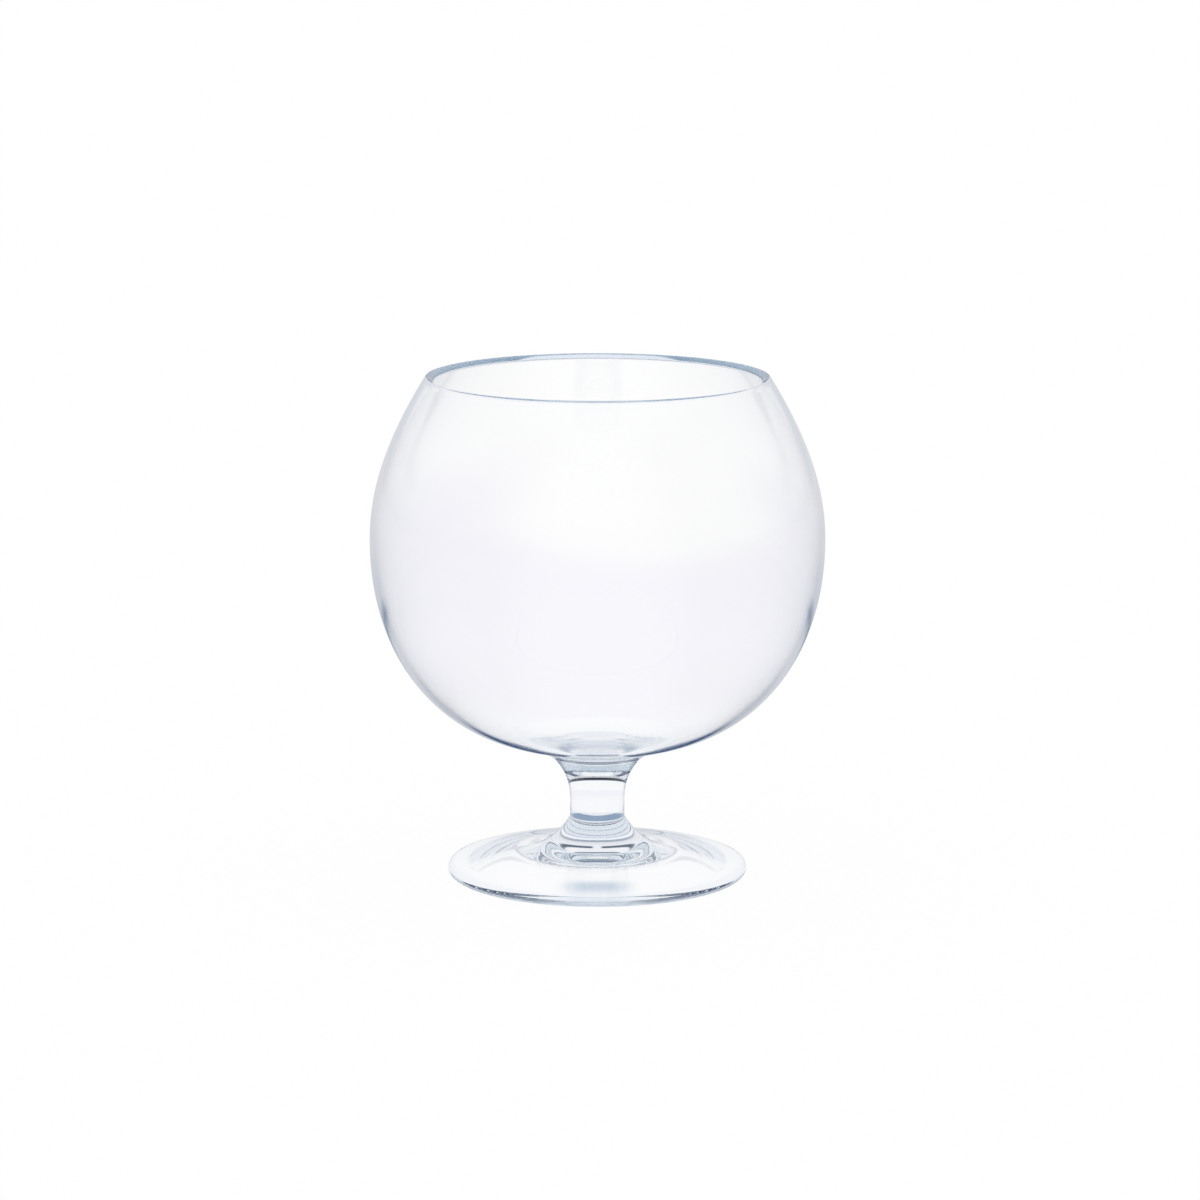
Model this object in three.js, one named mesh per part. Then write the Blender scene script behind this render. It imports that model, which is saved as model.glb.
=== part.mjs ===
// Fishbowl glass: a wide round bowl on a short spool-shaped stem and a round foot.
// Millimetres, +Z up. The origin is the middle of the plane that the foot rests on.
// The bowl, the stem and the foot are formed apart and fused hot at two flat butt joints.
import * as THREE from 'three';

// Bowl
const BOWL_DIAMETER = 116;
const RIM_DIAMETER = 87.6;
const BOWL_DEPTH = 54.8; // from the widest ring down to the lowest point of the outer curve
const BOWL_UPPER_HEIGHT = 41.5; // from the widest ring up to where the lip starts to round over
const BOWL_WALL = 1.5;
const BOWL_FLOOR = 1.5; // from the lowest point of the outer curve up to the inside
const LIP_WIDTH = 2.4; // across the lip's flat face
const LIP_TILT = 33; // degrees that the lip's face leans in, square to the wall
const LIP_ROUNDING = 0.4; // on both edges of the lip's face
const WALL_HEIGHT_POWER = 2.1; // 2 and 2 give an ellipse, higher powers a fuller bowl
const WALL_RADIUS_POWER = 2.6;
const SHOULDER_STRAIGHTNESS = 0.7; // near 0 gives a parabola, higher values a straighter shoulder
const NECK_DIAMETER = 44; // where the underside starts to turn down into the stem
const NECK_DROP = 2.15; // from the lowest point of the outer curve down to the joint

// Stem
const STEM_TOP_DIAMETER = 22.8; // joint with the bowl
const STEM_WAIST_DIAMETER = 13.9;
const STEM_BASE_DIAMETER = 21.4; // joint with the foot
const STEM_TOP_FLARE_HEIGHT = 13.55;
const STEM_WAIST_HEIGHT = 1.75;
const STEM_BASE_FLARE_HEIGHT = 5;
const STEM_TOP_FLARE_POWER = 3; // 1 gives a cone, higher powers a longer slim part
const STEM_BASE_FLARE_POWER = 1.3;

// Foot
const FOOT_DIAMETER = 77;
const FOOT_EDGE_THICKNESS = 3;
const FOOT_HUB_HEIGHT = 10; // joint with the stem, above the plane that the foot rests on
const FOOT_CONE_DIAMETER = 30; // where the foot's cone starts to turn up into the stem
const FOOT_CONE_HEIGHT = 7.5;
const REST_RING_WIDTH = 4;
const UNDERSIDE_RISE = 4.2; // hollow of the underside, at its middle
const UNDERSIDE_POWER = 3; // 1 gives a cone, 2 a parabola, higher powers a flatter middle

// Fineness of the solids
const SIDES = 48;
const WALL_STEPS = 12;
const SHOULDER_STEPS = 7;
const BLEND_STEPS = 5;
const LIP_STEPS = 3;
const FLARE_STEPS = 8;
const EDGE_STEPS = 6;
const UNDERSIDE_STEPS = 6;
const SAME_POINT = 1e-6; // profile points closer than this are one point

const GLASS_COLOUR = 0xeef2f6;
const GLASS_ROUGHNESS = 0.03;
const GLASS_OPACITY = 0.35;

// Height of the joint with the bowl, and of the bowl's widest ring above that joint
const stemHeight = STEM_BASE_FLARE_HEIGHT + STEM_WAIST_HEIGHT + STEM_TOP_FLARE_HEIGHT;
const bowlSeat = FOOT_HUB_HEIGHT + stemHeight;
const widestHeight = NECK_DROP + BOWL_DEPTH;

// Calls the function at equal steps from 0 to 1 and gathers the points that it gives.
function along(steps, pointAt) {
  return Array.from({ length: steps + 1 }, (_, step) => pointAt(step / steps));
}

// A profile point from its distance to the axis and its height.
function point(radius, height) {
  return new THREE.Vector2(radius, height);
}

// Part of a circle that bulges away from its centre, from the start angle through the sweep.
function arc(steps, centre, radius, startAngle, sweep) {
  return along(steps, (share) => {
    const angle = startAngle + sweep * share;
    return point(centre.x + radius * Math.cos(angle), centre.y + radius * Math.sin(angle));
  });
}

// Wall below the widest ring, from the start radius up, as part of a superellipse.
// The sine puts more steps where the wall turns in under the bowl.
function wall(widestRadius, depth, startRadius) {
  const lowest = (1 - (startRadius / widestRadius) ** WALL_RADIUS_POWER) ** (1 / WALL_HEIGHT_POWER);
  return along(WALL_STEPS, (share) => {
    const drop = lowest * Math.sin((1 - share) * Math.PI / 2);
    const radius = widestRadius * (1 - drop ** WALL_HEIGHT_POWER) ** (1 / WALL_RADIUS_POWER);
    return point(radius, widestHeight - depth * drop);
  });
}

// Rise over run of that superellipse at a radius.
function wallSlope(widestRadius, depth, radius) {
  const share = radius / widestRadius;
  const fullness = 1 - share ** WALL_RADIUS_POWER;
  const bend = (WALL_RADIUS_POWER / WALL_HEIGHT_POWER) * share ** (WALL_RADIUS_POWER - 1);
  return (depth / widestRadius) * bend * fullness ** (1 / WALL_HEIGHT_POWER - 1);
}

// Wall above the widest ring, up to the rim, as part of a hyperbola.
function shoulder(widestRadius, end) {
  const bend = (rise) => Math.sqrt(1 + (SHOULDER_STRAIGHTNESS * rise) ** 2) - 1;
  return along(SHOULDER_STEPS, (rise) => {
    const radius = widestRadius - (widestRadius - end.x) * bend(rise) / bend(1);
    return point(radius, widestHeight + (end.y - widestHeight) * rise);
  });
}

// A flat face square to the wall, from its outer edge to its inner edge, with both edges rounded.
function lip(outerEnd, across) {
  const quarter = Math.PI / 2;
  const tilt = across.angle();
  const outerCentre = outerEnd.clone().addScaledVector(across, -LIP_ROUNDING);
  const innerCentre = outerEnd.clone().addScaledVector(across, LIP_ROUNDING - LIP_WIDTH);
  return [
    ...arc(LIP_STEPS, outerCentre, LIP_ROUNDING, tilt, quarter),
    ...arc(LIP_STEPS, innerCentre, LIP_ROUNDING, tilt + quarter, quarter),
  ];
}

// A curve from one point to another that leaves and arrives along the given slopes.
function blend(start, startSlope, end, endSlope) {
  const fall = end.y - start.y - endSlope * (end.x - start.x);
  const reach = fall / (startSlope - endSlope);
  const corner = point(start.x + reach, start.y + startSlope * reach);
  return new THREE.QuadraticBezierCurve(start, corner, end).getPoints(BLEND_STEPS);
}

// Flare of the stem, from the waist out to its joint, as a power curve.
function flare(jointDiameter, power, waistHeight, jointHeight) {
  const waistRadius = STEM_WAIST_DIAMETER / 2;
  return along(FLARE_STEPS, (share) => {
    const radius = waistRadius + (jointDiameter / 2 - waistRadius) * share ** power;
    return point(radius, waistHeight + (jointHeight - waistHeight) * share);
  });
}

// Rise over run of a flare at its joint.
function flareSlope(jointDiameter, power, height) {
  return height / (power * (jointDiameter - STEM_WAIST_DIAMETER) / 2);
}

// Turns a profile around +Z. Repeated points, where two stretches meet, are dropped.
function turned(profile) {
  const points = profile.filter((p, i) => i === 0 || p.distanceTo(profile[i - 1]) > SAME_POINT);
  return new THREE.LatheGeometry(points, SIDES).rotateX(Math.PI / 2);
}

function glass() {
  return new THREE.MeshStandardMaterial({
    color: GLASS_COLOUR,
    roughness: GLASS_ROUGHNESS,
    metalness: 0,
    transparent: true,
    opacity: GLASS_OPACITY,
  });
}

function piece(name, profile, seatHeight) {
  const mesh = new THREE.Mesh(turned(profile), glass());
  mesh.name = name;
  mesh.position.z = seatHeight;
  return mesh;
}

// Outside from the stem up to the lip, over it, and down the inside to the floor.
function bowl() {
  const outerRadius = BOWL_DIAMETER / 2;
  const innerRadius = outerRadius - BOWL_WALL;
  const neckRadius = NECK_DIAMETER / 2;
  const tilt = THREE.MathUtils.degToRad(LIP_TILT);
  const across = point(Math.cos(tilt), Math.sin(tilt));
  const outerEnd = point(RIM_DIAMETER / 2, widestHeight + BOWL_UPPER_HEIGHT);
  const innerEnd = outerEnd.clone().addScaledVector(across, -LIP_WIDTH);
  const outerWall = wall(outerRadius, BOWL_DEPTH, neckRadius);
  const neck = blend(
    point(STEM_TOP_DIAMETER / 2, 0),
    flareSlope(STEM_TOP_DIAMETER, STEM_TOP_FLARE_POWER, STEM_TOP_FLARE_HEIGHT),
    outerWall[0],
    wallSlope(outerRadius, BOWL_DEPTH, neckRadius),
  );
  return piece('bowl', [
    point(0, 0),
    ...neck,
    ...outerWall,
    ...shoulder(outerRadius, outerEnd),
    ...lip(outerEnd, across),
    ...shoulder(innerRadius, innerEnd).reverse(),
    ...wall(innerRadius, BOWL_DEPTH - BOWL_FLOOR, 0).reverse(),
  ], bowlSeat);
}

// A solid spool: flat joint, flare, waist, flare, flat joint.
function stem() {
  const waistStart = STEM_BASE_FLARE_HEIGHT;
  const waistEnd = waistStart + STEM_WAIST_HEIGHT;
  return piece('stem', [
    point(0, 0),
    ...flare(STEM_BASE_DIAMETER, STEM_BASE_FLARE_POWER, waistStart, 0).reverse(),
    ...flare(STEM_TOP_DIAMETER, STEM_TOP_FLARE_POWER, waistEnd, stemHeight),
    point(0, stemHeight),
  ], FOOT_HUB_HEIGHT);
}

// Hollow underside, rest ring, rounded edge, cone, and a turn up to the joint.
function foot() {
  const edgeRadius = FOOT_EDGE_THICKNESS / 2;
  const ringOuter = FOOT_DIAMETER / 2 - edgeRadius;
  const ringInner = ringOuter - REST_RING_WIDTH;
  const underside = along(UNDERSIDE_STEPS, (share) => (
    point(ringInner * share, UNDERSIDE_RISE * (1 - share ** UNDERSIDE_POWER))
  ));
  const coneTop = point(FOOT_CONE_DIAMETER / 2, FOOT_CONE_HEIGHT);
  const coneSlope = (FOOT_CONE_HEIGHT - FOOT_EDGE_THICKNESS) / (coneTop.x - ringOuter);
  const turnUp = blend(
    coneTop,
    coneSlope,
    point(STEM_BASE_DIAMETER / 2, FOOT_HUB_HEIGHT),
    -flareSlope(STEM_BASE_DIAMETER, STEM_BASE_FLARE_POWER, STEM_BASE_FLARE_HEIGHT),
  );
  return piece('foot', [
    ...underside,
    ...arc(EDGE_STEPS, point(ringOuter, edgeRadius), edgeRadius, -Math.PI / 2, Math.PI),
    ...turnUp,
    point(0, FOOT_HUB_HEIGHT),
  ], 0);
}

const fishbowlGlass = new THREE.Group();
fishbowlGlass.name = 'fishbowl_glass';
fishbowlGlass.add(bowl(), stem(), foot());

export default fishbowlGlass;
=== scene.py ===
"""A clear fishbowl glass: bowl, stem and foot as fine turned surfaces, on a pale studio floor.

Metres, +Z up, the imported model's own frame.
"""
import math

import bpy
import numpy as np
from mathutils import Matrix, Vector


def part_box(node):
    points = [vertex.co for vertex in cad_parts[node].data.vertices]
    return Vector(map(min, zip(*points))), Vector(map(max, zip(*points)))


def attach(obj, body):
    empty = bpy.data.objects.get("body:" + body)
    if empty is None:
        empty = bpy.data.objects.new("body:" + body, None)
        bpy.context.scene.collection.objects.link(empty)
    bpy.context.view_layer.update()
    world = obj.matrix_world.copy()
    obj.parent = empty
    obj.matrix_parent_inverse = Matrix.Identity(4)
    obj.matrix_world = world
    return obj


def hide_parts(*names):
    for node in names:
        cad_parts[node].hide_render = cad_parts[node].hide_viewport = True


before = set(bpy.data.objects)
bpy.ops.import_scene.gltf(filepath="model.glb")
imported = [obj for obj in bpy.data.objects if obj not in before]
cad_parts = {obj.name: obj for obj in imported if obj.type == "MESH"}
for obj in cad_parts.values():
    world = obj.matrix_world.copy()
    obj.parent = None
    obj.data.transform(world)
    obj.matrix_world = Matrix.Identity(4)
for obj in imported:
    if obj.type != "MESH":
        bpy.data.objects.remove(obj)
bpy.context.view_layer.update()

# Camera, as fitted to the ellipses of the rim and the foot
CAMERA_DISTANCE = 1.1746
CAMERA_HEIGHT = 0.2930
CAMERA_SIDE = 0.00065
CAMERA_PITCH = 0.1866
CAMERA_ROLL = 0.001
CAMERA_LENS = 140.35
SENSOR_WIDTH = 36.0

# Bowl, beside what the frame gives
RIM_RADIUS = 0.0438
LIP_WIDTH = 0.0024
LIP_TILT = math.radians(33)
LIP_ROUNDING = 0.0004
BOWL_DEPTH = 0.0548
WALL = 0.0015
BOWL_FLOOR = 0.0015
WALL_HEIGHT_POWER = 2.1
WALL_RADIUS_POWER = 2.6
SHOULDER_STRAIGHTNESS = 0.7
NECK_RADIUS = 0.022
NECK_DROP = 0.00215

# Stem
TOP_JOINT_RADIUS = 0.0114
WAIST_RADIUS = 0.00695
BASE_JOINT_RADIUS = 0.0107
TOP_FLARE_HEIGHT = 0.01355
BASE_FLARE_HEIGHT = 0.005
TOP_FLARE_POWER = 3.0
BASE_FLARE_POWER = 1.3

# Foot
EDGE_THICKNESS = 0.003
CONE_RADIUS = 0.015
CONE_HEIGHT = 0.0075
REST_RING_WIDTH = 0.004
UNDERSIDE_RISE = 0.0042
UNDERSIDE_POWER = 3.0

# Joints: each piece stops short of the other by this much, and its flat faces there are told by these limits
JOINT_GAP = 0.00001
JOINT_LEVEL = 1e-7
FLAT_NORMAL = 0.9999

# Fineness of the surfaces
SIDES = 320
WALL_POINTS = 90
SHOULDER_POINTS = 40
LIP_POINTS = 9
BLEND_POINTS = 33
FLARE_POINTS = 60
EDGE_POINTS = 33
UNDERSIDE_POINTS = 60
SAME_POINT = 1e-9
SHARP_ANGLE = math.radians(35)

# Glass
GLASS_INDEX = 1.5
TRANSMISSION = 1.0
CLEAR = (1.0, 1.0, 1.0, 1.0)
ABSORPTION_COLOUR = (0.2, 0.41, 0.58, 1.0)
ABSORPTION_DENSITY = 4.0
ROUGHNESS_SCALE = 60.0
ROUGHNESS_HIGH = 0.012

# Painted shade on the edges, a darker and bluer tint of the glass: how far over the wall's end the lip
# starts, and where the foot's rounded edge lies
PAINTED_EDGE_SHADE = (0.95, 0.97, 0.99, 1.0)
LIP_START = 0.0001
LIP_END = 0.0003
FOOT_EDGE_START = 0.0362
FOOT_EDGE_END = 0.0374
FOOT_EDGE_FULL = 0.004
FOOT_EDGE_TOP = 0.008

# Turning rings at the foot of the stem and the neck of the bowl, with their strength after a height in metres
RINGS_PER_METRE = 900.0
RING_DETAIL = 2.0
RING_HEIGHT = 0.00006
NO_RINGS = (0.0, 0.0, 0.0, 1.0)
STEM_RINGS = (0.35, 0.35, 0.35, 1.0)
NECK_RINGS = (0.4, 0.4, 0.4, 1.0)
RING_STRENGTHS = (
    (0.0098, NO_RINGS),
    (0.0108, STEM_RINGS),
    (0.0140, STEM_RINGS),
    (0.0155, NO_RINGS),
    (0.0304, NO_RINGS),
    (0.0310, NECK_RINGS),
    (0.0324, NECK_RINGS),
    (0.0332, NO_RINGS),
)

# Studio
FLOOR_SIZE = 40.0
FLOOR_COLOUR = (0.95, 0.95, 0.95, 1.0)
FLOOR_WHITE_SHARE = 0.97
LIGHT_BOUNCES = 200
RAMP_END = 1.0
WHITE = (1.0, 1.0, 1.0, 1.0)
NEAR_WHITE = (0.985, 0.985, 0.995, 1.0)
FRONT_WHITE = (0.96, 0.96, 1.0, 1.0)
LAVENDER_SHADE = (0.935, 0.93, 0.98, 1.0)
PALE_GREY = (0.93, 0.94, 0.97, 1.0)
PALE_BLUE = (0.90, 0.93, 0.98, 1.0)
REST_RING_SHADE_GREY = (0.84, 0.87, 0.92, 1.0)
FAR_GREY = (0.66, 0.67, 0.71, 1.0)
LOW_GREY = (0.62, 0.64, 0.69, 1.0)
CONTACT_SHADOW_BLUE = (0.26, 0.36, 0.50, 1.0)
DEEP_BLUE = (0.12, 0.19, 0.30, 1.0)
REST_RING_SHADOW_NAVY = (0.03, 0.06, 0.13, 1.0)
NECK_NAVY = (0.02, 0.05, 0.14, 1.0)
BACK_SHADE_NAVY = (0.0, 0.04, 0.14, 1.0)
BLACK = (0.0, 0.002, 0.014, 1.0)

# Tones of the floor, each after its distance from the middle in metres: painted light and shade of the room,
# seen through the glass and in its reflections
# Straight through the glass: near white in the middle, a painted lavender shade further out, white far away
SEEN_FLOOR_TONES = (
    (0.0, NEAR_WHITE),
    (0.10, NEAR_WHITE),
    (0.17, LAVENDER_SHADE),
    (0.60, LAVENDER_SHADE),
    (1.0, WHITE),
)
# Painted shadow on the floor under the middle of the foot: dark blue below the stem, paler further out
CONTACT_SHADOW_TONES = (
    (0.0, CONTACT_SHADOW_BLUE),
    (0.012, CONTACT_SHADOW_BLUE),
    (0.017, (0.97, 0.98, 1.0, 1.0)),
    (0.024, PALE_GREY),
)
# Painted shade in reflections: the floor at the sides darkens to grey away from the middle
SIDE_FLOOR_TONES = CONTACT_SHADOW_TONES + (
    (0.040, (0.90, 0.91, 0.94, 1.0)),
    (0.08, (0.62, 0.63, 0.67, 1.0)),
    (0.15, FAR_GREY),
    (0.24, (0.58, 0.60, 0.65, 1.0)),
    (0.50, FAR_GREY),
    (1.0, (0.70, 0.71, 0.74, 1.0)),
)
# Painted shade in reflections: the floor behind darkens to grey, with painted dark navy bands
BACK_FLOOR_TONES = CONTACT_SHADOW_TONES + (
    (0.031, PALE_GREY),
    (0.036, BACK_SHADE_NAVY),
    (0.070, BACK_SHADE_NAVY),
    (0.084, (0.60, 0.61, 0.65, 1.0)),
    (0.19, (0.60, 0.62, 0.67, 1.0)),
    (0.22, (0.50, 0.53, 0.60, 1.0)),
    (0.255, (0.13, 0.19, 0.29, 1.0)),
    (0.30, (0.55, 0.57, 0.63, 1.0)),
    (0.50, FAR_GREY),
    (1.0, (0.72, 0.73, 0.76, 1.0)),
)
# Painted light in reflections: the floor in front stays white
FRONT_FLOOR_TONES = CONTACT_SHADOW_TONES + (
    (0.06, FRONT_WHITE),
    (1.0, FRONT_WHITE),
)
# Painted shade for rays mirrored twice or more: a painted shadow under the foot's rest ring, and a dark blue
# band further out
DEEP_FLOOR_TONES = (
    (0.0, (0.85, 0.89, 0.95, 1.0)),
    (0.020, (0.93, 0.95, 1.0, 1.0)),
    (0.027, (0.88, 0.91, 0.96, 1.0)),
    (0.031, REST_RING_SHADE_GREY),
    (0.035, REST_RING_SHADE_GREY),
    (0.040, PALE_BLUE),
    (0.062, (0.88, 0.90, 0.95, 1.0)),
    (0.072, DEEP_BLUE),
    (0.125, DEEP_BLUE),
    (0.16, (0.66, 0.68, 0.72, 1.0)),
    (0.50, (0.62, 0.63, 0.68, 1.0)),
)
# Painted shadow for rays run along inside the glass: dark navy on the floor under the foot's rest ring
TRAPPED_FLOOR_TONES = (
    (0.0, PALE_BLUE),
    (0.028, PALE_BLUE),
    (0.031, REST_RING_SHADOW_NAVY),
    (0.039, REST_RING_SHADOW_NAVY),
    (0.043, PALE_BLUE),
)

# Tones of the sky, each after the height of its direction, from 0 level to 1 straight up
SEEN_SKY_TONES = (
    (0.0, WHITE),
    (0.25, WHITE),
    (0.265, (0.45, 0.57, 0.74, 1.0)),
    (0.28, BLACK),
    (0.61, BLACK),
    (0.64, (0.20, 0.27, 0.40, 1.0)),
    (0.68, WHITE),
)
SIDE_SKY_TONES = (
    (0.0, LOW_GREY),
    (0.04, (0.72, 0.73, 0.77, 1.0)),
    (0.10, (0.78, 0.79, 0.83, 1.0)),
    (0.20, (0.84, 0.85, 0.88, 1.0)),
    (0.35, (0.94, 0.94, 0.97, 1.0)),
    (0.60, WHITE),
)
FRONT_SKY_TONES = (
    (0.0, (0.90, 0.90, 0.97, 1.0)),
    (0.30, (0.98, 0.98, 1.0, 1.0)),
    (1.0, WHITE),
)
GAP_SKY_TONES = (
    (0.0, WHITE),
    (0.28, WHITE),
    (0.31, (0.06, 0.11, 0.17, 1.0)),
    (0.35, (0.03, 0.07, 0.12, 1.0)),
    (0.38, WHITE),
)
DEEP_SKY_TONES = (
    (0.0, LOW_GREY),
    (0.09, (0.72, 0.74, 0.79, 1.0)),
    (0.115, (0.28, 0.33, 0.42, 1.0)),
    (0.14, (0.86, 0.90, 0.96, 1.0)),
    (0.30, WHITE),
)
NECK_SKY_TONES = (
    (0.0, WHITE),
    (0.55, WHITE),
    (0.60, NECK_NAVY),
    (0.79, NECK_NAVY),
    (0.83, WHITE),
)

# Where the sides of the room end and its front and back are full, as a share of a direction
SIDE_EDGE = 0.6
FRONT_EDGE = 0.98
BACK_EDGE = 0.8
GAP_MIDDLE = 0.03
GAP_SIDE = 0.08

# Bright patch on the floor behind, in metres, and its soft edge as shares of its half sizes
PATCH_SIDE = 0.022
PATCH_BACK = 0.59
PATCH_HALF_WIDTH = 0.06
PATCH_HALF_LENGTH = 0.13
PATCH_INNER = 0.75
PATCH_OUTER = 1.5

# Shade of the stem on the floor in front of it
STEM_SHADE = (0.56, 0.65, 0.75, 1.0)
SHADE_SIDE = 0.002
SHADE_SIDE_END = 0.012
SHADE_NEAR = 0.018
SHADE_NEAR_END = 0.026
SHADE_FAR = 0.027
SHADE_FAR_END = 0.037

# Limits between whole counts of mirrorings, of faces gone through and of joint faces crossed
ONCE = 0.5
TWICE = 1.5
THRICE = 2.5
ONE_JOINT = 2.5
OFTEN = 7.5


def join(*stretches):
    """Profile stretches end to end, each point as radius and height, with repeated points dropped."""
    points = np.concatenate(stretches)
    steps = np.linalg.norm(np.diff(points, axis=0), axis=1)
    keep = np.concatenate([[True], steps > SAME_POINT])
    return points[keep]


def shares(count):
    """Even steps from 0 to 1."""
    return np.linspace(0.0, 1.0, count)


def wall(widest, widest_height, depth, start_radius):
    """Part of a superellipse below the widest ring, from the start radius up.

    radius = widest * (1 - drop ^ height power) ^ (1 / radius power), where drop is a share of the depth
    """
    lowest = (1.0 - (start_radius / widest) ** WALL_RADIUS_POWER) ** (1.0 / WALL_HEIGHT_POWER)
    drop = lowest * np.sin((1.0 - shares(WALL_POINTS)) * math.pi / 2)
    radius = widest * (1.0 - drop ** WALL_HEIGHT_POWER) ** (1.0 / WALL_RADIUS_POWER)
    return np.column_stack([radius, widest_height - depth * drop])


def wall_slope(widest, depth, radius):
    """Rise over run of that superellipse at a radius, from its derivative."""
    share = radius / widest
    fullness = 1.0 - share ** WALL_RADIUS_POWER
    bend = WALL_RADIUS_POWER / WALL_HEIGHT_POWER * share ** (WALL_RADIUS_POWER - 1.0)
    return depth / widest * bend * fullness ** (1.0 / WALL_HEIGHT_POWER - 1.0)


def shoulder(widest, widest_height, end):
    """Part of a hyperbola, from the widest ring up to its end at the lip.

    radius = widest - (widest - end) * (sqrt(1 + (k * rise)^2) - 1) / (sqrt(1 + k^2) - 1)
    """
    rise = shares(SHOULDER_POINTS)
    bend = np.sqrt(1.0 + (SHOULDER_STRAIGHTNESS * rise) ** 2) - 1.0
    radius = widest - (widest - end[0]) * bend / bend[-1]
    return np.column_stack([radius, widest_height + (end[1] - widest_height) * rise])


def lip_outer_end():
    """Where the outside of the wall starts to round over into the lip's face, as radius and height."""
    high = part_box("bowl")[1]
    return np.array([RIM_RADIUS, high.z - LIP_ROUNDING * (1.0 - math.sin(LIP_TILT))])


def lip(outer_end, across):
    """Flat face square to the wall, with a quarter circle on its outer edge and one on its inner edge."""
    quarter = math.pi / 2
    outer_centre = outer_end - LIP_ROUNDING * across
    inner_centre = outer_end - (LIP_WIDTH - LIP_ROUNDING) * across
    return join(
        arc(outer_centre, LIP_ROUNDING, LIP_TILT, quarter, LIP_POINTS),
        arc(inner_centre, LIP_ROUNDING, LIP_TILT + quarter, quarter, LIP_POINTS),
    )


def blend(start, start_slope, end, end_slope):
    """Quadratic curve between two points that leaves and arrives along the given slopes.

    Its middle control point is where the two tangents cross.
    """
    fall = end[1] - start[1] - end_slope * (end[0] - start[0])
    reach = fall / (start_slope - end_slope)
    corner = np.array([start[0] + reach, start[1] + start_slope * reach])
    share = shares(BLEND_POINTS)[:, None]
    return (1.0 - share) ** 2 * start + 2.0 * share * (1.0 - share) * corner + share ** 2 * end


def arc(centre, radius, start_angle, sweep, count):
    """Part of a circle about the centre, counter-clockwise from the start angle through the sweep."""
    angle = start_angle + sweep * shares(count)
    return centre + radius * np.column_stack([np.cos(angle), np.sin(angle)])


def flare(joint_radius, power, waist_height, joint_height):
    """Power curve from the waist out to a joint: waist + (joint - waist) * share ^ power."""
    share = shares(FLARE_POINTS)
    radius = WAIST_RADIUS + (joint_radius - WAIST_RADIUS) * share ** power
    return np.column_stack([radius, waist_height + (joint_height - waist_height) * share])


def flare_slope(joint_radius, power, height):
    """Rise over run of a flare at its joint, from its derivative."""
    return height / (power * (joint_radius - WAIST_RADIUS))


def bowl_profile():
    """Outside from the stem up to the lip, over it, and down the inside to the floor."""
    low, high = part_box("bowl")
    seat = low.z + JOINT_GAP
    widest, widest_height = high.x, low.z + NECK_DROP + BOWL_DEPTH
    across = np.array([math.cos(LIP_TILT), math.sin(LIP_TILT)])
    outer_end = lip_outer_end()
    outside = wall(widest, widest_height, BOWL_DEPTH, NECK_RADIUS)
    neck = blend(
        np.array([TOP_JOINT_RADIUS, seat]),
        flare_slope(TOP_JOINT_RADIUS, TOP_FLARE_POWER, TOP_FLARE_HEIGHT),
        outside[0],
        wall_slope(widest, BOWL_DEPTH, NECK_RADIUS),
    )
    profile = join(
        [[0.0, seat]],
        neck,
        outside,
        shoulder(widest, widest_height, outer_end),
        lip(outer_end, across),
        shoulder(widest - WALL, widest_height, outer_end - LIP_WIDTH * across)[::-1],
        wall(widest - WALL, widest_height, BOWL_DEPTH - BOWL_FLOOR, 0.0)[::-1],
    )
    return profile, [seat]


def stem_profile():
    """A solid spool: flat joint, flare, waist, flare, flat joint."""
    low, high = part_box("stem")
    base, top = low.z + JOINT_GAP, high.z - JOINT_GAP
    profile = join(
        [[0.0, base]],
        flare(BASE_JOINT_RADIUS, BASE_FLARE_POWER, base + BASE_FLARE_HEIGHT, base)[::-1],
        flare(TOP_JOINT_RADIUS, TOP_FLARE_POWER, top - TOP_FLARE_HEIGHT, top),
        [[0.0, top]],
    )
    return profile, [base, top]


def foot_profile():
    """Hollow underside, rest ring, rounded edge, cone, and a turn up to the joint.

    The hollow's height is rise * (1 - share ^ power), where share is radius / inner radius of the rest ring.
    """
    low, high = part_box("foot")
    hub = high.z - JOINT_GAP
    edge = EDGE_THICKNESS / 2
    ring_outer = high.x - edge
    ring_inner = ring_outer - REST_RING_WIDTH
    share = shares(UNDERSIDE_POINTS)
    hollow = low.z + UNDERSIDE_RISE * (1.0 - share ** UNDERSIDE_POWER)
    turn_up = blend(
        np.array([CONE_RADIUS, low.z + CONE_HEIGHT]),
        (CONE_HEIGHT - EDGE_THICKNESS) / (CONE_RADIUS - ring_outer),
        np.array([BASE_JOINT_RADIUS, hub]),
        -flare_slope(BASE_JOINT_RADIUS, BASE_FLARE_POWER, BASE_FLARE_HEIGHT),
    )
    profile = join(
        np.column_stack([ring_inner * share, hollow]),
        arc(np.array([ring_outer, low.z + edge]), edge, -math.pi / 2, math.pi, EDGE_POINTS),
        turn_up,
        [[0.0, hub]],
    )
    return profile, [hub]


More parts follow.
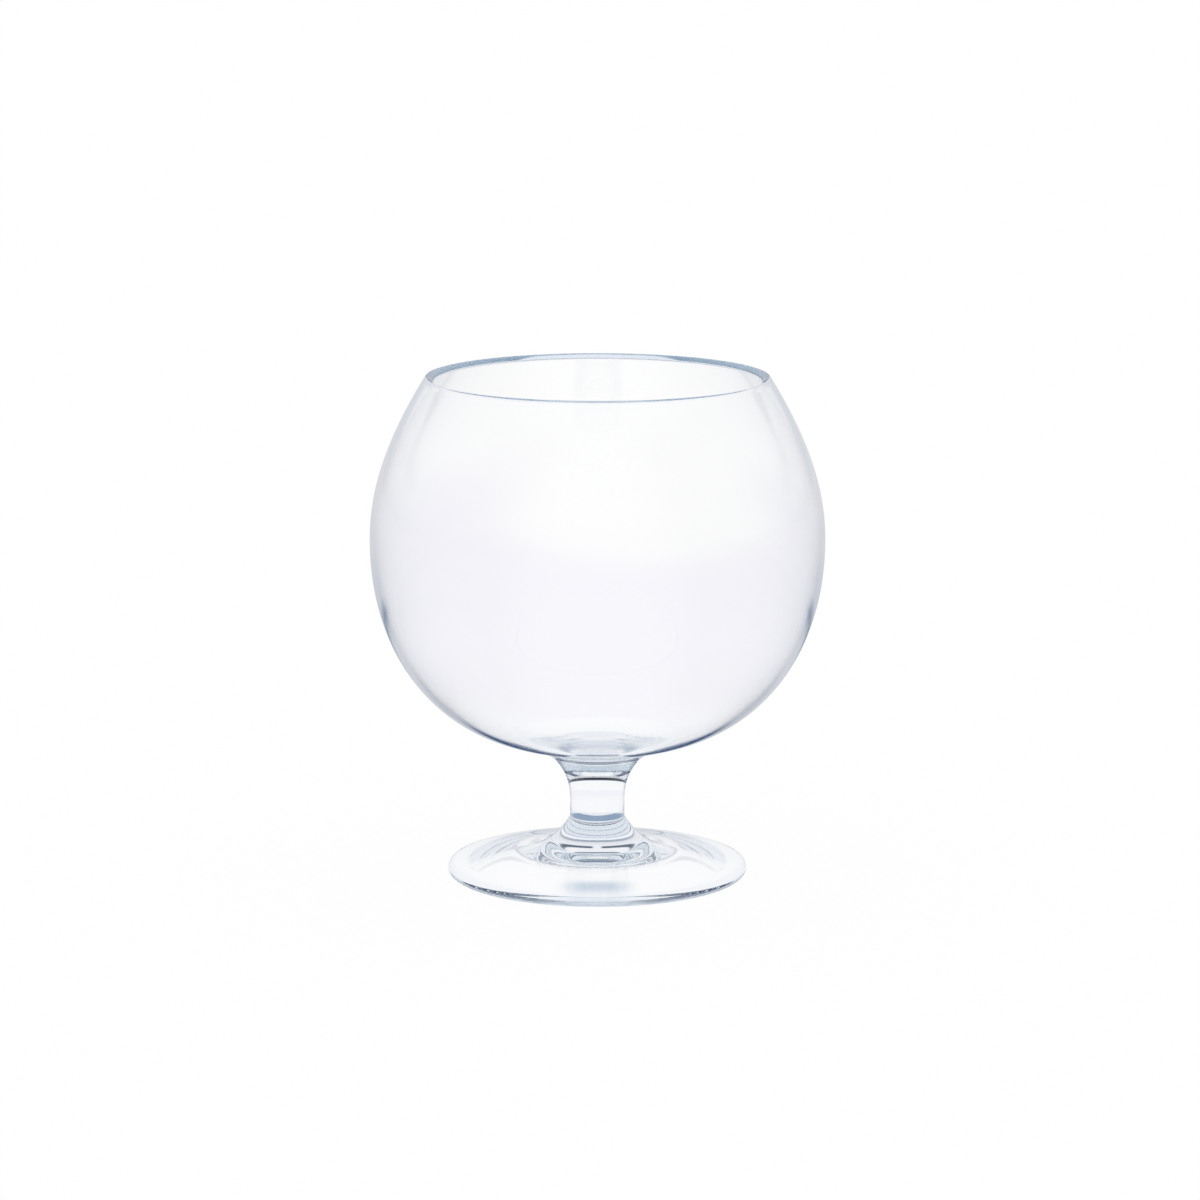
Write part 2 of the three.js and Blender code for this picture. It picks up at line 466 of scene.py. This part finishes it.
def turned_surface(profile):
    """Points and faces of a surface of revolution of a profile that starts and ends on the axis.

    x = radius * cos(turn), y = radius * sin(turn), z = height. The two ends close in one point each.
    """
    turn = np.arange(SIDES) * 2.0 * math.pi / SIDES
    radius, height = profile[1:-1, 0], profile[1:-1, 1]
    ring = np.empty((len(radius), SIDES, 3))
    ring[..., 0] = radius[:, None] * np.cos(turn)
    ring[..., 1] = radius[:, None] * np.sin(turn)
    ring[..., 2] = height[:, None]
    poles = np.array([[0.0, 0.0, profile[0, 1]], [0.0, 0.0, profile[-1, 1]]])
    points = np.concatenate([ring.reshape(-1, 3), poles])

    index = np.arange(len(radius) * SIDES).reshape(len(radius), SIDES)
    beside = np.roll(index, -1, axis=1)
    quads = np.stack([index[:-1], beside[:-1], beside[1:], index[1:]], axis=-1).reshape(-1, 4)
    first_pole, last_pole = len(points) - 2, len(points) - 1
    first_fan = np.column_stack([np.full(SIDES, first_pole), beside[0], index[0]])
    last_fan = np.column_stack([np.full(SIDES, last_pole), index[-1], beside[-1]])
    return points.tolist(), quads.tolist() + first_fan.tolist() + last_fan.tolist()


def faces_at_joints(mesh, joint_heights):
    """1 for each face that lies flat at one of the joint heights, and 0 for the others."""
    middle = np.empty(len(mesh.polygons) * 3)
    normal = np.empty(len(mesh.polygons) * 3)
    mesh.polygons.foreach_get("center", middle)
    mesh.polygons.foreach_get("normal", normal)
    flat = np.abs(normal.reshape(-1, 3)[:, 2]) > FLAT_NORMAL
    above_joints = middle.reshape(-1, 3)[:, 2][:, None] - np.array(joint_heights)[None]
    level = (np.abs(above_joints) < JOINT_LEVEL).any(axis=1)
    return (flat & level).astype(np.int32)


def turned_piece(name, profile, joint_heights, materials):
    """A smooth turned piece of the first material, with the second one on its faces at the joints."""
    points, faces = turned_surface(profile)
    mesh = bpy.data.meshes.new(name)
    mesh.from_pydata(points, [], faces)
    mesh.polygons.foreach_set("use_smooth", np.ones(len(mesh.polygons), dtype=bool))
    mesh.set_sharp_from_angle(angle=SHARP_ANGLE)
    for material in materials:
        mesh.materials.append(material)
    mesh.polygons.foreach_set("material_index", faces_at_joints(mesh, joint_heights))
    mesh.update()
    piece = bpy.data.objects.new(name, mesh)
    bpy.context.scene.collection.objects.link(piece)
    return piece


def feed(links, value, socket):
    """Links a socket to the one that feeds it, or gives it a fixed number or colour."""
    if isinstance(value, bpy.types.NodeSocket):
        links.new(value, socket)
    else:
        socket.default_value = value


def math_node(nodes, links, operation, *values):
    """A Math node; each value is a number or the socket that feeds it."""
    node = nodes.new("ShaderNodeMath")
    node.operation = operation
    for socket, value in zip(node.inputs, values):
        feed(links, value, socket)
    return node.outputs[0]


def opposite(nodes, links, value):
    """The value with its sign turned round."""
    return math_node(nodes, links, "SUBTRACT", 0.0, value)


def parts_of(nodes, links, vector):
    """X, Y and Z of a vector."""
    node = nodes.new("ShaderNodeSeparateXYZ")
    links.new(vector, node.inputs[0])
    return tuple(node.outputs)


def length_of(nodes, links, vector):
    """Length of a vector: the square root of x^2 + y^2 + z^2."""
    node = nodes.new("ShaderNodeVectorMath")
    node.operation = "LENGTH"
    links.new(vector, node.inputs[0])
    return node.outputs["Value"]


def between(nodes, links, value, start, end):
    """Soft step from 0 at the start value to 1 at the end value."""
    step = nodes.new("ShaderNodeMapRange")
    step.interpolation_type = "SMOOTHSTEP"
    step.inputs["From Min"].default_value = start
    step.inputs["From Max"].default_value = end
    links.new(value, step.inputs["Value"])
    return step.outputs["Result"]


def tone_ramp(nodes, links, share, tones):
    """Colours at given shares of the way from 0 to 1, blended between them."""
    ramp = nodes.new("ShaderNodeValToRGB")
    stops = ramp.color_ramp.elements
    while len(stops) < len(tones):
        stops.new(RAMP_END)
    for stop, (place, colour) in zip(stops, tones):
        stop.position = place
        stop.color = colour
    links.new(share, ramp.inputs["Fac"])
    return ramp.outputs["Color"]


def mixed(nodes, links, share, first, second):
    """Blend of two colours, all of the first where the share is 0."""
    mix = nodes.new("ShaderNodeMix")
    mix.data_type = "RGBA"
    links.new(share, mix.inputs["Factor"])
    feed(links, first, mix.inputs["A"])
    feed(links, second, mix.inputs["B"])
    return mix.outputs["Result"]


def multiplied(nodes, links, share, colour, tint):
    """Colour times tint where the share is 1, and the plain colour where it is 0."""
    mix = nodes.new("ShaderNodeMix")
    mix.data_type = "RGBA"
    mix.blend_type = "MULTIPLY"
    links.new(share, mix.inputs["Factor"])
    feed(links, colour, mix.inputs["A"])
    feed(links, tint, mix.inputs["B"])
    return mix.outputs["Result"]


def mixed_shader(nodes, links, share, first, second):
    """Blend of two shaders, all of the first where the share is 0."""
    mix = nodes.new("ShaderNodeMixShader")
    feed(links, share, mix.inputs["Fac"])
    links.new(first, mix.inputs[1])
    links.new(second, mix.inputs[2])
    return mix.outputs[0]


def new_material(name):
    """An empty material, with its nodes and its links."""
    material = bpy.data.materials.new(name)
    material.use_nodes = True
    material.node_tree.nodes.clear()
    return material, material.node_tree.nodes, material.node_tree.links


def group_socket(group, name, kind, side):
    """Adds a named socket of a kind to a node group, on its input or its output side."""
    group.interface.new_socket(name, in_out=side, socket_type="NodeSocket" + kind)


def turning_rings(nodes, links, height, radius):
    """Normal bent by rings from turning the hot glass: a one-dimensional noise of height plus radius."""
    rings = nodes.new("ShaderNodeTexNoise")
    rings.noise_dimensions = "1D"
    rings.inputs["Scale"].default_value = RINGS_PER_METRE
    rings.inputs["Detail"].default_value = RING_DETAIL
    links.new(math_node(nodes, links, "ADD", height, radius), rings.inputs["W"])
    bump = nodes.new("ShaderNodeBump")
    bump.inputs["Distance"].default_value = RING_HEIGHT
    links.new(tone_ramp(nodes, links, height, RING_STRENGTHS), bump.inputs["Strength"])
    links.new(rings.outputs["Fac"], bump.inputs["Height"])
    return bump.outputs["Normal"]


def uneven_polish(nodes, links, position):
    """Roughness from a soft noise, up to its highest value."""
    uneven = nodes.new("ShaderNodeTexNoise")
    uneven.inputs["Scale"].default_value = ROUGHNESS_SCALE
    links.new(position, uneven.inputs["Vector"])
    return math_node(nodes, links, "MULTIPLY", uneven.outputs["Fac"], ROUGHNESS_HIGH)


def lip_and_foot_edge(nodes, links, height, radius):
    """Mask of the lip's face and of the foot's rounded edge, where the glass takes painted shade.

    A point lies over the wall's end by
    (rim radius - radius) * sin(tilt) + (height - rim height) * cos(tilt).
    """
    rim_radius, rim_height = lip_outer_end()
    inward, upward = math.sin(LIP_TILT), math.cos(LIP_TILT)
    from_side = math_node(nodes, links, "MULTIPLY_ADD", radius, -inward, rim_radius * inward)
    from_below = math_node(nodes, links, "MULTIPLY_ADD", height, upward, -rim_height * upward)
    over_wall = math_node(nodes, links, "ADD", from_side, from_below)
    lip_face = between(nodes, links, over_wall, LIP_START, LIP_END)
    outermost = between(nodes, links, radius, FOOT_EDGE_START, FOOT_EDGE_END)
    low = between(nodes, links, height, FOOT_EDGE_TOP, FOOT_EDGE_FULL)
    foot_edge = math_node(nodes, links, "MULTIPLY", outermost, low)
    return math_node(nodes, links, "MAXIMUM", lip_face, foot_edge)


def polish_and_edge_shade():
    """Node group for all the glass: an uneven polish, faint turning rings and a mask of the edges with
    painted shade.
    """
    group = bpy.data.node_groups.new("polish_and_edge_shade", "ShaderNodeTree")
    group_socket(group, "Position", "Vector", "INPUT")
    group_socket(group, "Roughness", "Float", "OUTPUT")
    group_socket(group, "Normal", "Vector", "OUTPUT")
    group_socket(group, "Edge", "Float", "OUTPUT")
    nodes, links = group.nodes, group.links
    source = nodes.new("NodeGroupInput")
    result = nodes.new("NodeGroupOutput")
    position = source.outputs["Position"]
    side, depth, height = parts_of(nodes, links, position)
    across = nodes.new("ShaderNodeCombineXYZ")
    links.new(side, across.inputs["X"])
    links.new(depth, across.inputs["Y"])
    radius = length_of(nodes, links, across.outputs[0])
    links.new(uneven_polish(nodes, links, position), result.inputs["Roughness"])
    links.new(turning_rings(nodes, links, height, radius), result.inputs["Normal"])
    links.new(lip_and_foot_edge(nodes, links, height, radius), result.inputs["Edge"])
    return group


def clear_glass(name, polish_group):
    """Clear glass with a trace of blue absorption, polished by the node group, with painted shade on the
    edges of its mask.
    """
    material, nodes, links = new_material(name)
    output = nodes.new("ShaderNodeOutputMaterial")
    place = nodes.new("ShaderNodeTexCoord")
    polish = nodes.new("ShaderNodeGroup")
    polish.node_tree = polish_group
    links.new(place.outputs["Object"], polish.inputs["Position"])
    shader = nodes.new("ShaderNodeBsdfPrincipled")
    # Painted shade: the lip's face and the foot's edge take a darker, bluer tint of the glass
    colour = mixed(nodes, links, polish.outputs["Edge"], CLEAR, PAINTED_EDGE_SHADE)
    links.new(colour, shader.inputs["Base Color"])
    links.new(polish.outputs["Roughness"], shader.inputs["Roughness"])
    links.new(polish.outputs["Normal"], shader.inputs["Normal"])
    shader.inputs["IOR"].default_value = GLASS_INDEX
    shader.inputs["Transmission Weight"].default_value = TRANSMISSION
    volume = nodes.new("ShaderNodeVolumeAbsorption")
    volume.inputs["Color"].default_value = ABSORPTION_COLOUR
    volume.inputs["Density"].default_value = ABSORPTION_DENSITY
    links.new(shader.outputs["BSDF"], output.inputs["Surface"])
    links.new(volume.outputs["Volume"], output.inputs["Volume"])
    return material


def fused_joint():
    """Transparent faces where two pieces are melted into one another, so that no joint shows."""
    material, nodes, links = new_material("fused_joint")
    output = nodes.new("ShaderNodeOutputMaterial")
    shader = nodes.new("ShaderNodeBsdfTransparent")
    links.new(shader.outputs["BSDF"], output.inputs["Surface"])
    return material


def by_path(nodes, links, straight, mirrored, deep):
    """Colour for rays through glass: unmirrored, mirrored once, and mirrored more often."""
    path = nodes.new("ShaderNodeLightPath")
    once = math_node(nodes, links, "GREATER_THAN", path.outputs["Glossy Depth"], ONCE)
    twice = math_node(nodes, links, "GREATER_THAN", path.outputs["Glossy Depth"], TWICE)
    return mixed(nodes, links, twice, mixed(nodes, links, once, straight, mirrored), deep)


def through_one_piece(nodes, links):
    """1 for rays that have gone into glass once and out again once."""
    path = nodes.new("ShaderNodeLightPath")
    over = math_node(nodes, links, "GREATER_THAN", path.outputs["Transmission Depth"], TWICE)
    under = math_node(nodes, links, "LESS_THAN", path.outputs["Transmission Depth"], THRICE)
    return math_node(nodes, links, "MULTIPLY", over, under)


def trapped(nodes, links):
    """1 for rays mirrored so often that they have run along inside the glass."""
    path = nodes.new("ShaderNodeLightPath")
    return math_node(nodes, links, "GREATER_THAN", path.outputs["Glossy Depth"], OFTEN)


def through_joints(nodes, links, crossings):
    """1 for rays that have crossed more joint faces than given; each joint has two."""
    path = nodes.new("ShaderNodeLightPath")
    return math_node(nodes, links, "GREATER_THAN", path.outputs["Transparent Depth"], crossings)


def glass_rays(nodes, links):
    """1 for rays that have come through glass or off it, 0 for the camera's own rays and diffuse light."""
    path = nodes.new("ShaderNodeLightPath")
    off_glass = math_node(nodes, links, "GREATER_THAN", path.outputs["Glossy Depth"], ONCE)
    return math_node(nodes, links, "MAXIMUM", off_glass, path.outputs["Is Transmission Ray"])


def front_and_back(nodes, links, forward):
    """Masks of the room's front and of its back, from the share of +Y in a direction."""
    front = between(nodes, links, opposite(nodes, links, forward), SIDE_EDGE, FRONT_EDGE)
    back = between(nodes, links, forward, SIDE_EDGE, BACK_EDGE)
    return front, back


def stem_shade(nodes, links, across, along):
    """Mask of the stem's soft shade on the floor, as wide as the stem and in front of it."""
    aside = math_node(nodes, links, "ABSOLUTE", across)
    away = opposite(nodes, links, along)
    width = between(nodes, links, aside, SHADE_SIDE_END, SHADE_SIDE)
    start = between(nodes, links, away, SHADE_NEAR, SHADE_NEAR_END)
    end = between(nodes, links, away, SHADE_FAR_END, SHADE_FAR)
    length = math_node(nodes, links, "MULTIPLY", start, end)
    return math_node(nodes, links, "MULTIPLY", width, length)


def bright_patch(nodes, links, across, along):
    """Mask of the bright patch on the floor behind, rounded on its near side and open on its far side.

    It fades out as the square root of (side / half width)^2 + (near / half length)^2 goes past 1.
    """
    side = math_node(nodes, links, "SUBTRACT", across, PATCH_SIDE)
    near = math_node(nodes, links, "MAXIMUM", math_node(nodes, links, "SUBTRACT", PATCH_BACK, along), 0.0)
    side_share = math_node(nodes, links, "DIVIDE", side, PATCH_HALF_WIDTH)
    near_share = math_node(nodes, links, "DIVIDE", near, PATCH_HALF_LENGTH)
    side_square = math_node(nodes, links, "MULTIPLY", side_share, side_share)
    square = math_node(nodes, links, "MULTIPLY_ADD", near_share, near_share, side_square)
    return between(nodes, links, math_node(nodes, links, "SQRT", square), PATCH_OUTER, PATCH_INNER)


def floor_tone(nodes, links):
    """The room's tone on the floor for rays through the glass or off it, by place and by the ray's path:
    painted light and shade.
    """
    place = nodes.new("ShaderNodeTexCoord")
    across, along = parts_of(nodes, links, place.outputs["Object"])[:2]
    distance = length_of(nodes, links, place.outputs["Object"])
    front, back = front_and_back(nodes, links, math_node(nodes, links, "DIVIDE", along, distance))
    sides = tone_ramp(nodes, links, distance, SIDE_FLOOR_TONES)
    ahead = tone_ramp(nodes, links, distance, FRONT_FLOOR_TONES)
    behind = tone_ramp(nodes, links, distance, BACK_FLOOR_TONES)
    around = mixed(nodes, links, back, mixed(nodes, links, front, sides, ahead), behind)
    # Painted shade: the floor seen straight through the glass turns lavender away from the middle
    floor_with_painted_shade = tone_ramp(nodes, links, distance, SEEN_FLOOR_TONES)
    seen = mixed(nodes, links, bright_patch(nodes, links, across, along), floor_with_painted_shade, WHITE)
    shade = stem_shade(nodes, links, across, along)
    deep = tone_ramp(nodes, links, distance, DEEP_FLOOR_TONES)
    edges = tone_ramp(nodes, links, distance, TRAPPED_FLOOR_TONES)
    return by_path(
        nodes,
        links,
        multiplied(nodes, links, shade, seen, STEM_SHADE),
        mixed(nodes, links, through_joints(nodes, links, ONE_JOINT), around, seen),
        mixed(nodes, links, trapped(nodes, links), deep, edges),
    )


def pale_floor():
    """White to the camera, with a trace of shadow; painted light and shade of the room through the glass and
    in reflections.
    """
    material, nodes, links = new_material("pale_floor")
    output = nodes.new("ShaderNodeOutputMaterial")
    plain = nodes.new("ShaderNodeBsdfDiffuse")
    plain.inputs["Color"].default_value = FLOOR_COLOUR
    white = nodes.new("ShaderNodeEmission")
    white.inputs["Color"].default_value = WHITE
    glow = nodes.new("ShaderNodeEmission")
    links.new(floor_tone(nodes, links), glow.inputs["Color"])
    pale = mixed_shader(nodes, links, FLOOR_WHITE_SHARE, plain.outputs[0], white.outputs[0])
    surface = mixed_shader(nodes, links, glass_rays(nodes, links), pale, glow.outputs[0])
    links.new(surface, output.inputs["Surface"])
    return material


def add_floor():
    """One square face, as stage."""
    half = FLOOR_SIZE / 2
    corners = [(-half, -half, 0.0), (half, -half, 0.0), (half, half, 0.0), (-half, half, 0.0)]
    mesh = bpy.data.meshes.new("floor")
    mesh.from_pydata(corners, [], [(0, 1, 2, 3)])
    mesh.materials.append(pale_floor())
    floor = bpy.data.objects.new("floor", mesh)
    bpy.context.scene.collection.objects.link(floor)


def gap_mask(nodes, links, across, back):
    """Mask of a gap behind, left and right of the middle, for rays through one piece of glass."""
    aside = between(nodes, links, math_node(nodes, links, "ABSOLUTE", across), GAP_MIDDLE, GAP_SIDE)
    beside = math_node(nodes, links, "MULTIPLY", back, aside)
    return math_node(nodes, links, "MULTIPLY", beside, through_one_piece(nodes, links))


def sky_tone(nodes, links):
    """The room's tone by direction for rays through the glass or off it, by height and by the ray's path."""
    direction = nodes.new("ShaderNodeTexCoord")
    across, forward, height = parts_of(nodes, links, direction.outputs["Generated"])
    front, back = front_and_back(nodes, links, forward)
    sides = tone_ramp(nodes, links, height, SIDE_SKY_TONES)
    ahead = tone_ramp(nodes, links, height, FRONT_SKY_TONES)
    around = mixed(nodes, links, front, sides, ahead)
    gap = tone_ramp(nodes, links, height, GAP_SKY_TONES)
    behind = multiplied(nodes, links, gap_mask(nodes, links, across, back), around, gap)
    neck = tone_ramp(nodes, links, height, NECK_SKY_TONES)
    straight = tone_ramp(nodes, links, height, SEEN_SKY_TONES)
    mirrored = multiplied(nodes, links, through_joints(nodes, links, ONCE), behind, neck)
    deep = tone_ramp(nodes, links, height, DEEP_SKY_TONES)
    return by_path(nodes, links, straight, mirrored, deep)


def add_world():
    """White to the camera; through the glass a white backdrop, a dark gap over it and a light overhead."""
    world = bpy.data.worlds.new("studio")
    bpy.context.scene.world = world
    world.use_nodes = True
    nodes, links = world.node_tree.nodes, world.node_tree.links
    nodes.clear()
    output = nodes.new("ShaderNodeOutputWorld")
    white = nodes.new("ShaderNodeBackground")
    white.inputs["Color"].default_value = WHITE
    room = nodes.new("ShaderNodeBackground")
    links.new(sky_tone(nodes, links), room.inputs["Color"])
    surface = mixed_shader(nodes, links, glass_rays(nodes, links), white.outputs[0], room.outputs[0])
    links.new(surface, output.inputs["Surface"])


def add_camera():
    """Camera in front of the glass, looking down at it by its pitch."""
    data = bpy.data.cameras.new("camera")
    data.sensor_width = SENSOR_WIDTH
    data.lens = CAMERA_LENS
    camera = bpy.data.objects.new("camera", data)
    place = Matrix.Translation((CAMERA_SIDE, -CAMERA_DISTANCE, CAMERA_HEIGHT))
    tilt = Matrix.Rotation(math.pi / 2 - CAMERA_PITCH, 4, "X")
    roll = Matrix.Rotation(CAMERA_ROLL, 4, "Z")
    camera.matrix_world = place @ tilt @ roll
    bpy.context.scene.collection.objects.link(camera)
    bpy.context.scene.camera = camera


def main():
    """The studio, and the three pieces in the place of their CAD nodes."""
    scene = bpy.context.scene
    scene.view_settings.view_transform = "Standard"
    scene.cycles.max_bounces = LIGHT_BOUNCES
    scene.cycles.glossy_bounces = LIGHT_BOUNCES
    scene.cycles.transmission_bounces = LIGHT_BOUNCES
    scene.cycles.transparent_max_bounces = LIGHT_BOUNCES
    add_camera()
    add_floor()
    add_world()
    joint = fused_joint()
    polish = polish_and_edge_shade()
    for name, shape in (("bowl", bowl_profile), ("stem", stem_profile), ("foot", foot_profile)):
        profile, joints = shape()
        glass = clear_glass(name + "_glass", polish)
        piece = turned_piece("clear_" + name, profile, joints, [glass, joint])
        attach(piece, "root")
        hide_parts(name)


main()
